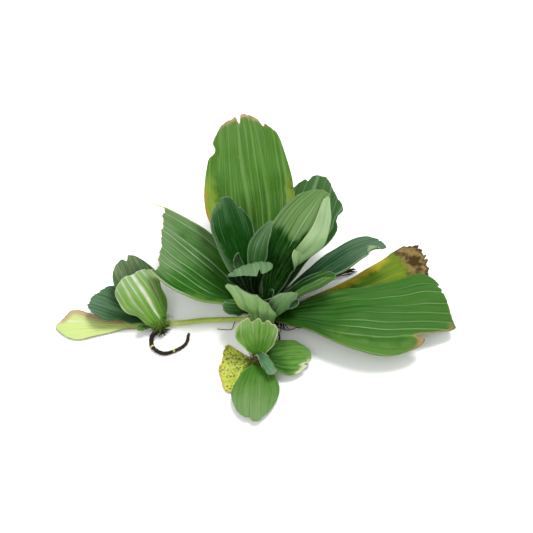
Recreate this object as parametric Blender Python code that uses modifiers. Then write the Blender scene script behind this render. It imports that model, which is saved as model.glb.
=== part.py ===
"""A water lettuce lifted out of its pond and laid on a table.

The mother plant stands on its matted roots. Two daughter plants hang on its runners:
one to the side (-X) and one in front (-Y). Every leaf is one closed solid: a grid that
is bent into the blade's middle surface and then given its thickness.

Lengths are in millimetres and angles in degrees until MM turns them into Blender's metres.
While the plant is modelled, X and Y count from the mother plant's crown and Z from the table.
At the end the whole plant hangs on an empty that puts the origin under the middle of its box.
"""

import math
from dataclasses import dataclass, field

import bmesh
import bpy
import numpy as np
from mathutils import Vector

MM = 0.001

# Driving dimensions
RUNNER_DIAMETER = 4.2
BLADE_EDGE = 0.9  # thickness at a leaf's margin
MIDRIB_STEPS = 48
SECTION_STEPS = 16

# Where each plant's crown stands: x, y, height of its foot, its radius and its own height
CROWNS = {
    "mother": {"x": 0.0, "y": 0.0, "foot": 9.0, "radius": 8.0, "height": 19.0},
    "side": {"x": -80.0, "y": -1.0, "foot": 1.5, "radius": 4.4, "height": 9.0},
    "front": {"x": -4.0, "y": -36.0, "foot": 1.5, "radius": 4.0, "height": 9.0},
}

SKINS = {
    "outer_green": ((0.10, 0.27, 0.04), 0.45),
    "velvet_green": ((0.09, 0.20, 0.08), 0.62),
    "pale_green": ((0.24, 0.36, 0.17), 0.68),
    "old_yellow": ((0.47, 0.52, 0.06), 0.60),
    "runner_green": ((0.42, 0.55, 0.10), 0.42),
    "crown_brown": ((0.16, 0.15, 0.05), 0.80),
    "root_brown": ((0.035, 0.02, 0.014), 0.85),
}


@dataclass
class Leaf:
    """One leaf, by how it leaves its crown and how its blade is shaped."""

    name: str
    crown: str
    skin: str
    azimuth: float  # where it leaves the crown: 0 is +X, 90 is +Y
    radius: float  # from the crown's axis to the start of the blade
    height: float  # of that start above the table
    pitch: float  # rise at the base
    bend: float  # change of pitch by the tip
    length: float
    width: float = 0.0  # where no widths are listed in wide
    sway: float = 0.0  # change of azimuth by the tip
    curl: float = 0.0  # extra bend in the last third
    roll: float = 0.0  # bank at the base, which lifts the left side
    twist: float = 0.0  # change of bank by the tip
    neck: float = 0.24  # base width as a share of the width
    widest: float = 0.66  # where along the blade it is widest
    spread: float = 1.3  # over 1 keeps the lower blade narrow
    tip_round: float = 0.30  # share of the length that the tip's curve takes
    wide: tuple = ()  # (place along the blade, half width to the left, half width to the right)
    tip: tuple = ()  # (place across from -1 at the right margin to 1 at the left, share of the length reached)
    cup: tuple = (60.0, 25.0)  # how far each half turns up, at the base and at the tip
    fold_left: tuple = (0.0, 0.5, 0.4)  # turn of the margin, where it starts, how wide it is
    fold_right: tuple = (0.0, 0.5, 0.4)
    stem: float = 3.2  # thickness at the base
    cells: tuple = field(default=(10, 6))  # grid cells along and across


LEAVES = [
    # Mother plant, outer leaves
    Leaf("back_leaf", "mother", "outer_green", 97, 9.8, 15.4, 40, -25, 150, sway=2, cup=(45, 12),
         wide=((0, 7, 7), (0.15, 15, 15), (0.3, 27, 25), (0.45, 35, 32), (0.6, 35, 34), (0.75, 32, 34),
               (0.88, 28, 34), (1, 24, 30)),
         tip=((-1, 0.64), (-0.85, 0.82), (-0.62, 0.92), (-0.4, 0.975), (-0.1, 1.0), (0.12, 0.985),
              (0.35, 0.97), (0.6, 0.93), (0.85, 0.82), (1, 0.66)), cells=(12, 8)),
    Leaf("torn_left_leaf", "mother", "outer_green", 148, 10.2, 12.5, 18, -4, 106, sway=-6, roll=6,
         cup=(45, 20),
         wide=((0, 5, 6), (0.12, 12, 12), (0.3, 28, 21), (0.45, 33, 28), (0.6, 34, 31), (0.8, 32, 29),
               (1, 29, 24)),
         tip=((-1, 1.0), (-0.85, 0.965), (-0.7, 0.95), (-0.4, 0.9), (0, 0.825), (0.4, 0.74),
              (0.75, 0.685), (0.9, 0.69), (1, 0.71)), cells=(12, 8)),
    Leaf("right_leaf", "mother", "outer_green", -8, 10.2, 12.5, 11, -24, 132, sway=17, roll=-4,
         cup=(40, -6),
         wide=((0, 7, 7), (0.15, 14, 15), (0.3, 22, 25), (0.45, 29, 33), (0.6, 36, 36), (0.75, 42, 36),
               (0.88, 46, 35), (1, 46, 34)),
         tip=((-1, 0.66), (-0.86, 0.735), (-0.72, 0.785), (-0.62, 0.8), (-0.54, 0.79), (-0.46, 0.83),
              (-0.4, 0.93), (-0.33, 0.985), (-0.2, 1.0), (0, 1.0), (0.4, 1.0), (0.7, 1.0),
              (0.85, 0.995), (0.94, 0.985), (1, 0.97)), cells=(12, 10)),
    Leaf("yellowed_leaf", "mother", "old_yellow", 24, 15, 6.6, -2, 2, 128, sway=4, cup=(30, 6),
         wide=((0, 4, 5), (0.2, 6, 10), (0.4, 8, 15), (0.6, 12, 20), (0.75, 15.5, 22), (0.87, 21, 22),
               (1, 24, 22)),
         tip=((-1, 0.86), (-0.6, 0.94), (-0.2, 0.97), (0.2, 1.0), (0.55, 0.99), (0.8, 0.96), (1, 0.9)),
         cells=(12, 8)),
    Leaf("behind_right_leaf", "mother", "velvet_green", 60, 9.8, 12.2, 26, -5, 111, sway=9, roll=-10,
         cup=(40, 16),
         wide=((0, 5, 5), (0.2, 8, 7), (0.4, 14, 14), (0.55, 20, 22), (0.7, 25, 28), (0.85, 28, 27),
               (1, 27, 24)),
         tip=((-1, 0.7), (-0.8, 0.8), (-0.55, 0.86), (-0.3, 0.93), (0, 0.99), (0.3, 1.0), (0.6, 0.95),
              (0.85, 0.85), (1, 0.74)), cells=(10, 6)),
    Leaf("narrow_right_leaf", "mother", "velvet_green", 32, 9.2, 18.4, 17, -9, 98, sway=1, curl=-22,
         roll=-6, cup=(50, 15), fold_right=(90, 0.72, 0.3),
         wide=((0, 2.6, 2.6), (0.2, 6, 7), (0.4, 9, 10.5), (0.6, 11, 13), (0.75, 11, 13),
               (0.88, 9, 12), (1, 6, 11)),
         tip=((-1, 0.97), (-0.5, 1.0), (0, 0.995), (0.5, 0.98), (1, 0.93)), cells=(10, 6)),
    # Mother plant, inner leaves
    Leaf("inner_left_leaf", "mother", "velvet_green", 124, 9.8, 20, 53, -8, 82, sway=-15, cup=(35, 10),
         fold_right=(40, 0.8, 0.2), fold_left=(50, 0.8, 0.2),
         wide=((0, 3.6, 3.6), (0.2, 7.5, 6.5), (0.4, 13, 11.5), (0.6, 17, 15), (0.75, 18, 15.5),
               (0.88, 16, 14), (1, 13, 12)),
         tip=((-1, 0.72), (-0.75, 0.86), (-0.4, 0.97), (0, 1.0), (0.4, 0.97), (0.75, 0.88), (1, 0.74)),
         cells=(10, 6)),
    Leaf("inner_right_leaf", "mother", "pale_green", 72, 7, 24.4, 44, -28, 93, sway=-28, cup=(50, 15),
         fold_right=(170, 0.58, 0.12),
         wide=((0, 4, 6), (0.15, 8, 12), (0.3, 13, 18), (0.4, 15.5, 27), (0.5, 17, 37), (0.6, 17, 43),
               (0.7, 16, 43), (0.8, 14, 35), (0.9, 11, 21), (1, 7, 11)),
         tip=((-1, 0.97), (-0.5, 1.0), (0, 1.0), (0.5, 0.97), (1, 0.9)), stem=2.6, cells=(12, 10)),
    Leaf("folded_right_leaf", "mother", "velvet_green", 14, 8, 21.4, 27, -10, 51, sway=6, cup=(50, 25),
         fold_right=(75, 0.12, 0.35),
         wide=((0, 2.4, 2.4), (0.25, 6, 7), (0.5, 9, 12), (0.75, 9, 15), (1, 6, 11)),
         tip=((-1, 0.86), (-0.4, 0.97), (0, 1.0), (0.5, 0.98), (1, 0.9)), stem=2.4, cells=(8, 6)),
    Leaf("hooded_leaf", "mother", "velvet_green", 160, 5, 26, 52, 80, 60, sway=-66, curl=70,
         cup=(50, 45),
         wide=((0, 4, 4), (0.2, 9, 9), (0.4, 14, 14), (0.6, 17, 17), (0.8, 18.5, 18), (1, 17, 16)),
         tip=((-1, 0.86), (-0.6, 0.96), (0, 1.0), (0.35, 0.98), (0.7, 0.97), (0.9, 0.93), (1, 0.88)),
         stem=1.8, cells=(8, 6)),
    Leaf("rolled_back_leaf", "mother", "velvet_green", 116, 8.6, 23.5, 74, -36, 63, sway=-78,
         cup=(70, 50),
         wide=((0, 1.7, 1.7), (0.3, 4.5, 4), (0.5, 8, 7), (0.7, 8.5, 7), (0.85, 6, 5), (1, 3, 2.5)),
         tip=((-1, 0.94), (0, 1.0), (1, 0.94)), stem=1.8, cells=(8, 6)),
    Leaf("front_left_leaf", "mother", "pale_green", -106, 9.6, 13, 76, 8, 51, cup=(30, 5),
         wide=((0, 9, 7), (0.25, 12, 11), (0.5, 14, 16), (0.75, 15, 23), (1, 14, 28)),
         tip=((-1, 0.88), (-0.85, 0.97), (-0.6, 1.0), (-0.2, 0.92), (0.2, 0.82), (0.6, 0.7), (1, 0.55)),
         stem=2.4, cells=(8, 6)),
    Leaf("front_right_leaf", "mother", "pale_green", -42, 9.2, 18.5, 70, -2, 47, roll=-38, cup=(40, 30),
         wide=((0, 3.4, 3.4), (0.25, 8, 7.5), (0.5, 11, 10), (0.75, 10, 9), (0.9, 7.5, 7), (1, 5, 5)),
         tip=((-1, 0.85), (0, 1.0), (1, 0.85)), stem=2.4, cells=(8, 6)),
    Leaf("small_left_leaf", "mother", "velvet_green", -170, 9.8, 19, 30, -10, 23, 15, stem=2.0,
         cells=(7, 4)),
    Leaf("tiny_left_leaf", "mother", "velvet_green", 139, 7.2, 24, 54, 0, 46, 9, sway=-4, curl=60,
         cup=(60, 60), stem=1.6, cells=(7, 4)),
    Leaf("tiny_right_leaf", "mother", "velvet_green", -6, 8.6, 18.6, 28, 0, 23, 8, sway=10, curl=60,
         cup=(60, 60), stem=1.6, cells=(7, 4)),
    Leaf("heart_leaf_large", "mother", "velvet_green", -75, 4.6, 25.5, 78, 0, 15, 11, cup=(60, 50),
         stem=1.6, cells=(7, 4)),
    Leaf("heart_leaf_small", "mother", "velvet_green", 30, 4.8, 25.5, 76, 0, 13, 6, cup=(60, 50),
         stem=1.4, cells=(7, 4)),
    # Side plant
    Leaf("side_back_leaf", "side", "velvet_green", 120, 5.2, 7.2, 37, -8, 50, cup=(30, 0),
         wide=((0, 5.5, 5.5), (0.25, 11, 11), (0.5, 17, 16), (0.75, 19, 16.5), (1, 18, 14)),
         tip=((-1, 0.6), (-0.7, 0.8), (-0.35, 0.96), (0, 1.0), (0.35, 0.97), (0.7, 0.88), (1, 0.7)),
         stem=2.2, cells=(8, 6)),
    Leaf("side_left_leaf", "side", "velvet_green", 162, 5.8, 4.4, 12, -4, 48, cup=(40, 20),
         wide=((0, 3.6, 3), (0.25, 8, 7), (0.5, 12, 14), (0.75, 15, 20), (1, 14, 20)),
         tip=((-1, 0.7), (-0.6, 0.88), (-0.2, 0.98), (0.2, 1.0), (0.6, 0.96), (1, 0.84)), stem=2.2,
         cells=(8, 6)),
    Leaf("side_cupped_leaf", "side", "pale_green", -42, 5.8, 8, 126, 10, 47, cup=(45, 45),
         wide=((0, 5.5, 5.5), (0.2, 15, 12), (0.4, 22, 17), (0.6, 23, 20), (0.8, 20, 20), (1, 16, 18)),
         tip=((-1, 0.84), (-0.7, 0.95), (-0.35, 1.0), (0, 0.96), (0.4, 0.93), (0.75, 0.86), (1, 0.7)),
         stem=2.4, cells=(8, 6)),
    Leaf("side_old_leaf", "side", "old_yellow", 180, 6, 1.6, 0, 0, 70, cup=(25, 5),
         wide=((0, 2.2, 2), (0.2, 3.5, 3.5), (0.4, 6.5, 6), (0.6, 11, 10), (0.8, 14.5, 14.5),
               (1, 13, 16)),
         tip=((-1, 0.84), (-0.8, 0.88), (-0.4, 0.93), (0, 1.0), (0.5, 0.95), (1, 0.78)), stem=1.8,
         cells=(10, 6)),
    Leaf("side_young_leaf", "side", "velvet_green", 212, 6.6, 4.6, 20, 0, 11, 6, cup=(60, 30), stem=1.4,
         cells=(7, 4)),
    # Front plant
    Leaf("front_up_leaf", "front", "pale_green", 87, 4.8, 7, 74, 0, 33, cup=(50, 30),
         wide=((0, 4.8, 4.8), (0.25, 12, 9), (0.5, 17, 13), (0.75, 18, 15), (1, 16, 14)),
         tip=((-1, 0.74), (-0.6, 0.92), (0, 0.97), (0.5, 1.0), (1, 0.84)), stem=2.4, cells=(8, 6)),
    Leaf("front_side_leaf", "front", "outer_green", 2, 6.2, 6.2, 18, -28, 33, cup=(45, -25),
         wide=((0, 5, 5), (0.12, 10.5, 10), (0.3, 15, 14), (0.5, 17.5, 16), (0.75, 17.5, 16),
               (1, 15, 13)),
         tip=((-1, 0.5), (-0.8, 0.72), (-0.55, 0.9), (-0.2, 0.98), (0.1, 1.0), (0.5, 0.93),
              (0.8, 0.75), (1, 0.52)), stem=2.4, cells=(8, 6)),
    Leaf("front_low_leaf", "front", "outer_green", -92, 5.4, 6, 6, -14, 47, cup=(40, -10),
         wide=((0, 5, 5), (0.12, 9.5, 9.5), (0.28, 14, 14), (0.5, 17, 18), (0.75, 16, 18), (1, 14, 16)),
         tip=((-1, 0.62), (-0.8, 0.82), (-0.5, 0.93), (-0.22, 0.96), (-0.14, 1.0), (0.1, 1.0),
              (0.35, 0.93), (0.7, 0.76), (1, 0.5)), stem=2.4, cells=(8, 6)),
    Leaf("front_old_leaf", "front", "old_yellow", 192, 5.6, 1.9, 0, 0, 24, cup=(15, 0),
         wide=((0, 4, 5), (0.3, 12, 14), (0.6, 20, 23), (1, 24, 27)),
         tip=((-1, 0.62), (-0.6, 0.72), (-0.25, 0.88), (0, 1.0), (0.5, 0.97), (0.8, 0.95), (1, 0.8)),
         stem=2.0, cells=(8, 6)),
    Leaf("front_young_leaf", "front", "pale_green", -58, 1.5, 14.5, 22, -50, 20, 8.5, neck=0.7,
         cup=(60, -60), stem=1.8, cells=(7, 4)),
]


def smooth_step(x):
    x = np.clip(x, 0.0, 1.0)
    return x * x * (3.0 - 2.0 * x)


def midrib(leaf):
    """Points, side vectors and normals along the leaf's centre line, in millimetres."""
    s = (np.arange(MIDRIB_STEPS) + 0.5) / MIDRIB_STEPS
    ends = np.arange(MIDRIB_STEPS + 1) / MIDRIB_STEPS
    along = directions(leaf, s)[0]
    crown = CROWNS[leaf.crown]
    turn = math.radians(leaf.azimuth)
    start = np.array([
        crown["x"] + leaf.radius * math.cos(turn),
        crown["y"] + leaf.radius * math.sin(turn),
        leaf.height,
    ])
    points = start + np.vstack([np.zeros(3), np.cumsum(along, axis=0)]) * leaf.length / MIDRIB_STEPS
    _, side, normal = directions(leaf, ends)
    return ends, points, side, normal


def directions(leaf, s):
    """Unit vectors along, across (to the left) and out of the upper face, at shares s of the length."""
    pitch = np.radians(leaf.pitch + leaf.bend * s + leaf.curl * smooth_step((s - 0.65) / 0.35))
    turn = np.radians(leaf.azimuth + leaf.sway * s)
    bank = np.radians(leaf.roll + leaf.twist * s)[:, None]
    along = np.stack([np.cos(pitch) * np.cos(turn), np.cos(pitch) * np.sin(turn), np.sin(pitch)], axis=1)
    level = np.stack([-np.sin(turn), np.cos(turn), np.zeros_like(turn)], axis=1)
    up = np.cross(along, level)
    side = level * np.cos(bank) + up * np.sin(bank)
    normal = up * np.cos(bank) - level * np.sin(bank)
    return along, side, normal


def through(x, pairs):
    """A smooth curve through a few (place, value) pairs."""
    at, value = np.array(pairs, dtype=float).T
    slope = np.gradient(value, at)
    k = np.clip(np.searchsorted(at, x) - 1, 0, len(at) - 2)
    run = at[k + 1] - at[k]
    t = np.clip((x - at[k]) / run, 0, 1)
    return (value[k] * (1 + 2 * t) * (1 - t) ** 2 + slope[k] * run * t * (1 - t) ** 2
            + value[k + 1] * t * t * (3 - 2 * t) + slope[k + 1] * run * t * t * (t - 1))


def half_width(leaf, s, v):
    """Half of the blade's width at a share s of its length, on the side of v."""
    if leaf.wide:
        left = through(s, [(place, wide) for place, wide, _ in leaf.wide])
        right = through(s, [(place, wide) for place, _, wide in leaf.wide])
        return np.where(v > 0, left, right)
    rise = np.sin(0.5 * math.pi * np.clip(s / leaf.widest, 0, 1) ** leaf.spread)
    return 0.5 * leaf.width * (leaf.neck + (1.0 - leaf.neck) * rise)


def tip_reach(leaf, v):
    """How far along the blade the tip reaches, at a share v of the half width."""
    if leaf.tip:
        return through(v, leaf.tip)
    round_off = 1.0 - (1.0 - np.abs(v) ** 2.4) ** (1 / 2.4)
    return 1.0 - leaf.tip_round * round_off


def section(leaf, s, v):
    """Offsets across and out of the blade for a unit half width: each half is an arc plus a turned margin."""
    q = np.abs(v)[..., None] * (np.arange(SECTION_STEPS) + 0.5) / SECTION_STEPS
    cup = np.radians(leaf.cup[0] + (leaf.cup[1] - leaf.cup[0]) * smooth_step(s / 0.6))
    angle = cup[..., None] * q
    grown = smooth_step(s / 0.4)[..., None]
    for turned, sign in ((leaf.fold_left, 1.0), (leaf.fold_right, -1.0)):
        degrees, start, span = turned
        fold = math.radians(degrees) * smooth_step((q - start) / span) * grown
        angle = angle + np.where((v * sign > 0)[..., None], fold, 0.0)
    step = np.abs(v) / SECTION_STEPS
    across = np.cos(angle).sum(axis=-1) * step * np.sign(v)
    out = np.sin(angle).sum(axis=-1) * step
    return across, out


def blade(leaf, u, v):
    """Points of the blade's middle surface, in millimetres, for arrays u along (0 to 1) and v across (-1 to 1)."""
    s = u * tip_reach(leaf, v)
    at, points, side, normal = midrib(leaf)
    place, left, out = (
        np.stack([np.interp(s, at, source[:, k]) for k in range(3)], axis=-1)
        for source in (points, side, normal)
    )
    across, lift = section(leaf, s, v)
    w = half_width(leaf, s, v)
    return place + left * (across * w)[..., None] + out * (lift * w)[..., None]


def skin(name):
    """The material of one kind of surface."""
    colour, rough = SKINS[name]
    material = bpy.data.materials.get(name)
    if material is None:
        material = bpy.data.materials.new(name)
        material.use_nodes = True
        shader = material.node_tree.nodes["Principled BSDF"]
        shader.inputs["Base Color"].default_value = (*colour, 1.0)
        shader.inputs["Roughness"].default_value = rough
        shader.inputs["Metallic"].default_value = 0.0
    return material


def add_object(name, data, material):
    """A named object in the plant's collection."""
    made = bpy.data.objects.new(name, data)
    made.data.materials.append(skin(material))
    bpy.data.collections["water_lettuce"].objects.link(made)
    made.parent = bpy.data.objects["plant"]
    return made


def add_leaf(leaf):
    """One leaf: a grid bent into the blade, thick at its base and thin at its margin."""
    mesh = bpy.data.meshes.new(leaf.name)
    grid = bmesh.new()
    bmesh.ops.create_grid(grid, x_segments=leaf.cells[0], y_segments=leaf.cells[1], size=1.0)
    u = np.array([(vertex.co.x + 1) / 2 for vertex in grid.verts])
    v = np.array([vertex.co.y for vertex in grid.verts])
    for vertex, point in zip(grid.verts, blade(leaf, u, v) * MM):
        vertex.co = point
    grid.to_mesh(mesh)
    grid.free()
    made = add_object(leaf.name, mesh, leaf.skin)
    thick = made.vertex_groups.new(name="thick")
    for index, weight in enumerate((1 - u) ** 1.5 * (1 - 0.7 * v * v)):
        thick.add([index], float(weight), "REPLACE")
    shell = made.modifiers.new("thickness", "SOLIDIFY")
    shell.thickness = leaf.stem * MM
    shell.offset = 0.0
    shell.use_even_offset = True
    shell.vertex_group = thick.name
    shell.thickness_vertex_group = BLADE_EDGE / leaf.stem
    mesh.shade_smooth()
    mesh.set_sharp_from_angle(angle=math.radians(50))
    return made


def add_turned(name, profile, x, y, material, steps=14):
    """A solid turned about an upright axis. The profile runs from top to bottom, in millimetres."""
    mesh = bpy.data.meshes.new(name)
    outline = bmesh.new()
    points = [outline.verts.new((radius * MM, 0, height * MM)) for radius, height in profile]
    for upper, lower in zip(points, points[1:]):
        outline.edges.new((upper, lower))
    outline.to_mesh(mesh)
    outline.free()
    made = add_object(name, mesh, material)
    made.location = (x * MM, y * MM, 0)
    turn = made.modifiers.new("turn", "SCREW")
    turn.steps = turn.render_steps = steps
    turn.use_merge_vertices = True
    turn.merge_threshold = 0.00005
    turn.use_smooth_shade = True
    return made


def add_crown(name):
    """A plant's short stem: a blunt cone that its leaves leave all round."""
    crown = CROWNS[name]
    foot, radius, height = crown["foot"], crown["radius"], crown["height"]
    profile = [
        (0, foot + height),
        (0.30 * radius, foot + 0.97 * height),
        (0.55 * radius, foot + 0.78 * height),
        (0.82 * radius, foot + 0.52 * height),
        (radius, foot + 0.28 * height),
        (0.92 * radius, foot + 0.06 * height),
        (0.70 * radius, foot),
        (0, foot),
    ]
    return add_turned(f"{name}_crown", profile, crown["x"], crown["y"], "crown_brown", steps=12)


def smooth_route(points, spacing):
    """Points on a Catmull-Rom curve through the given ones, about a spacing apart."""
    given = [Vector(p) for p in points]
    given = [2 * given[0] - given[1], *given, 2 * given[-1] - given[-2]]
    route = []
    for a, b, c, d in zip(given, given[1:], given[2:], given[3:]):
        count = max(1, round((c - b).length / spacing))
        for k in range(count):
            t = k / count
            route.append(0.5 * (2 * b + (c - a) * t + (2 * a - 5 * b + 4 * c - d) * t**2
                                + (3 * b - a - 3 * c + d) * t**3))
    return [*route, given[-2]]


def add_strand(name, points, diameters, material, spacing=5.0):
    """A tapering round strand along a smooth route. Diameters are at its two ends."""
    route = smooth_route(points, spacing)
    curve = bpy.data.curves.new(name, "CURVE")
    curve.dimensions = "3D"
    curve.bevel_depth = 0.5 * MM
    curve.bevel_resolution = 2
    curve.use_fill_caps = True
    spline = curve.splines.new("POLY")
    spline.points.add(len(route) - 1)
    for k, point in enumerate(route):
        share = k / (len(route) - 1)
        spline.points[k].co = (*(point * MM), 1.0)
        spline.points[k].radius = diameters[0] + (diameters[1] - diameters[0]) * share
    return add_object(name, curve, material)


def add_roots():
    """The mother plant's root mat with its tail, and the daughters' roots."""
    add_turned("mother_root_mat", [(0, 8.7), (7, 8.4), (11, 6.0), (12.5, 3.0), (12, 0), (0, 0)],
               1.0, 7.0, "root_brown")
    add_strand("mother_root_tail", [(14, 18, 4.6), (30, 32, 4.8), (48, 44, 4.4), (62, 49, 3.6), (71, 53, 2.2)],
               (8.0, 4.0), "root_brown")
    add_strand("side_root", [(-80, -7, 4), (-83.5, -13, 2.6), (-82, -22, 2.3), (-74, -27, 2.0),
                             (-65, -24, 1.8), (-58, -18, 1.6), (-56, -9, 2.2)], (4.6, 2.4), "root_brown")
    add_strand("front_root", [(3, -31, 1.4), (9, -21, 1.3), (11.5, -13, 1.3), (11, -7, 1.6)],
               (2.0, 1.6), "root_brown", spacing=4.0)


def add_runners():
    """The runners that tie the daughters to the mother plant."""
    add_strand("side_runner", [(-75, -1, 3.5), (-60, 0, 4), (-46, 1, 5.4), (-24, 0, 8.2), (-10, -1.5, 10.6)],
               (RUNNER_DIAMETER, 3.4), "runner_green")
    add_strand("front_runner", [(-3.5, -31.4, 3.4), (-2, -20, 5), (0, -9.5, 9.5)], (3.2, 3.0), "runner_green", spacing=4.0)


def centre_on_table():
    """Puts the origin under the middle of the plant's box, on the table."""
    bpy.context.view_layer.update()
    graph = bpy.context.evaluated_depsgraph_get()
    corners = []
    for made in bpy.data.collections["water_lettuce"].objects:
        if made.type != "EMPTY":
            shown = made.evaluated_get(graph)
            mesh = shown.to_mesh()
            corners += [shown.matrix_world @ vertex.co for vertex in mesh.vertices]
            shown.to_mesh_clear()
    points = np.array(corners)
    low, high = points.min(axis=0), points.max(axis=0)
    bpy.data.objects["plant"].location = (-(low[0] + high[0]) / 2, -(low[1] + high[1]) / 2, -low[2])
    bpy.context.view_layer.update()


def main():
    for old in list(bpy.data.objects):
        bpy.data.objects.remove(old)
    plant = bpy.data.collections.new("water_lettuce")
    bpy.context.scene.collection.children.link(plant)
    plant.objects.link(bpy.data.objects.new("plant", None))
    for name in CROWNS:
        add_crown(name)
    for leaf in LEAVES:
        add_leaf(leaf)
    add_runners()
    add_roots()
    centre_on_table()


main()
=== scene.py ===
import math

import bmesh
import bpy
import numpy as np
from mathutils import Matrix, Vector, noise


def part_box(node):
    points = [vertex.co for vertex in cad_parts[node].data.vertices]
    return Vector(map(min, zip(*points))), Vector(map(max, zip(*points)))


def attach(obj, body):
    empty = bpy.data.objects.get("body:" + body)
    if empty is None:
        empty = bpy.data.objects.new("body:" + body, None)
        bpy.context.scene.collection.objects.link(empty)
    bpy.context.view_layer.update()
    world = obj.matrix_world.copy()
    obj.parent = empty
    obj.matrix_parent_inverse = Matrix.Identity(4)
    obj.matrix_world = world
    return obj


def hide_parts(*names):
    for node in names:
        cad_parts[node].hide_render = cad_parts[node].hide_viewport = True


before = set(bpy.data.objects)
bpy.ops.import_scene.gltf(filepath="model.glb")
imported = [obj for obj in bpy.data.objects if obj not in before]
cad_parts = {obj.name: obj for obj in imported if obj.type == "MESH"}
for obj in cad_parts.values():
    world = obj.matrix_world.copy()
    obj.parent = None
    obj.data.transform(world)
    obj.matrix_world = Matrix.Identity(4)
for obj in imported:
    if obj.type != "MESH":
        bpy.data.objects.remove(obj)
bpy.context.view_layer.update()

# Water lettuce: a mother plant and two daughters. Leaf sizes are in mm and degrees,
# counted from each plant's crown; mm turns them into metres.
mm = 0.001


def crownCentre(name):
    low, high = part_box(name)
    return np.array([(low[0] + high[0]) / 2, (low[1] + high[1]) / 2, 0.0]) / mm


crowns = {name: crownCentre(name + "_crown") for name in ("mother", "side", "front")}
motherAt = crowns["mother"]

studioLight = 1.75  # colours below are as seen in the studio; this takes its brightness out again


def linear(code):
    parts = [int(code[k:k + 2], 16) / 255 for k in (1, 3, 5)]
    parts = [p / 12.92 if p <= 0.04045 else ((p + 0.055) / 1.055) ** 2.4 for p in parts]
    return (*[p / studioLight for p in parts], 1.0)


# ---- shader helpers

def node(tree, kind, inputs=None, **settings):
    made = tree.nodes.new(kind)
    for name, value in settings.items():
        setattr(made, name, value)
    for key, value in (inputs or {}).items():
        if isinstance(value, bpy.types.NodeSocket):
            tree.links.new(value, made.inputs[key])
        else:
            made.inputs[key].default_value = value
    return made


def mixColour(tree, amount, under, over):
    return node(tree, "ShaderNodeMix", {0: amount, 6: under, 7: over}, data_type="RGBA").outputs[2]


def calc(tree, operation, a, b=0.0, clamp=False):
    return node(tree, "ShaderNodeMath", {0: a, 1: b}, operation=operation, use_clamp=clamp).outputs[0]


def times(tree, a, b, clamp=False):
    return calc(tree, "MULTIPLY", a, b, clamp)


def plus(tree, a, b, clamp=False):
    return calc(tree, "ADD", a, b, clamp)


def tint(tree, colour, mask, amount, code):  # lays a colour over another where the mask is
    return mixColour(tree, times(tree, mask, amount), colour, linear(code))


def stray(tree, value, raw, amount):  # moves a value by how far a noise is from its middle
    return plus(tree, value, times(tree, calc(tree, "SUBTRACT", raw, 0.5), amount))


def objectPlace(tree):
    return node(tree, "ShaderNodeTexCoord").outputs["Object"]


def newSkin(name):
    material = bpy.data.materials.new(name)
    material.use_nodes = True
    return material, material.node_tree, material.node_tree.nodes["Principled BSDF"]


def addBump(tree, shader, height, strength, distance):
    bump = node(tree, "ShaderNodeBump", {"Height": height, "Strength": strength, "Distance": distance})
    tree.links.new(bump.outputs[0], shader.inputs["Normal"])


def ease(tree, value, start, end, low=0.0, high=1.0):  # smooth step from start to end
    return node(tree, "ShaderNodeMapRange", {"Value": value, "From Min": start, "From Max": end,
                                             "To Min": low, "To Max": high},
                interpolation_type="SMOOTHSTEP").outputs[0]


def newGroup(name, inputs, outputs):
    group = bpy.data.node_groups.new(name, "ShaderNodeTree")
    for label, kind, value in inputs:
        socket = group.interface.new_socket(label, in_out="INPUT", socket_type=kind)
        if value is not None:
            socket.default_value = value
    for label, kind in outputs:
        group.interface.new_socket(label, in_out="OUTPUT", socket_type=kind)
    return group, group.nodes.new("NodeGroupInput").outputs, group.nodes.new("NodeGroupOutput").inputs


floatSocket, vectorSocket = "NodeSocketFloat", "NodeSocketVector"


def veinGroup():
    # veins fan along the blade, no two alike; streaks are the finer lines between them
    group, given, out = newGroup(
        "leafVeins",
        [("UV", vectorSocket, None), ("Count", floatSocket, 10.0), ("Width", floatSocket, 0.1),
         ("Streak count", floatSocket, 40.0), ("Seed", floatSocket, 0.0)],
        [("Vein", floatSocket), ("Groove", floatSocket), ("Streak", floatSocket), ("Band", floatSocket)])
    uv = node(group, "ShaderNodeSeparateXYZ", {0: given["UV"]}).outputs
    across = times(group, uv[0], given["Count"])
    index = calc(group, "ROUND", across)
    lot = node(group, "ShaderNodeTexWhiteNoise", {"W": plus(group, index, given["Seed"])},
               noise_dimensions="1D").outputs[0]
    toVein = calc(group, "ABSOLUTE", calc(group, "SUBTRACT", across, index))
    along = node(group, "ShaderNodeCombineXYZ", {0: index, 1: times(group, uv[1], 5.0),
                                                 2: given["Seed"]}).outputs[0]
    uneven = node(group, "ShaderNodeTexNoise", {"Vector": along, "Scale": 1.7, "Detail": 1.0}).outputs[0]
    strength = times(group, plus(group, lot, 0.25), plus(group, uneven, 0.45))
    width = times(group, given["Width"], plus(group, lot, 0.6))
    line = ease(group, toVein, 0.0, width, 1.0, 0.0)
    group.links.new(times(group, line, strength, clamp=True), out["Vein"])
    # Groove marks the creases beside each vein; leafSkin paints shade into them
    groove = ease(group, toVein, 0.03, 0.36, 1.0, 0.0)
    group.links.new(times(group, groove, plus(group, uneven, 0.2)), out["Groove"])
    for label, share, stretch in (("Streak", 1.0, 3.0), ("Band", 0.18, 1.6)):
        lengthways = node(group, "ShaderNodeCombineXYZ", {
            0: times(group, times(group, uv[0], given["Streak count"]), share),
            1: times(group, uv[1], stretch), 2: given["Seed"]}).outputs[0]
        streak = node(group, "ShaderNodeTexNoise", {"Vector": lengthways, "Scale": 1.0, "Detail": 4.0,
                                                    "Roughness": 0.6}).outputs[0]
        group.links.new(streak, out[label])
    return group


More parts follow.
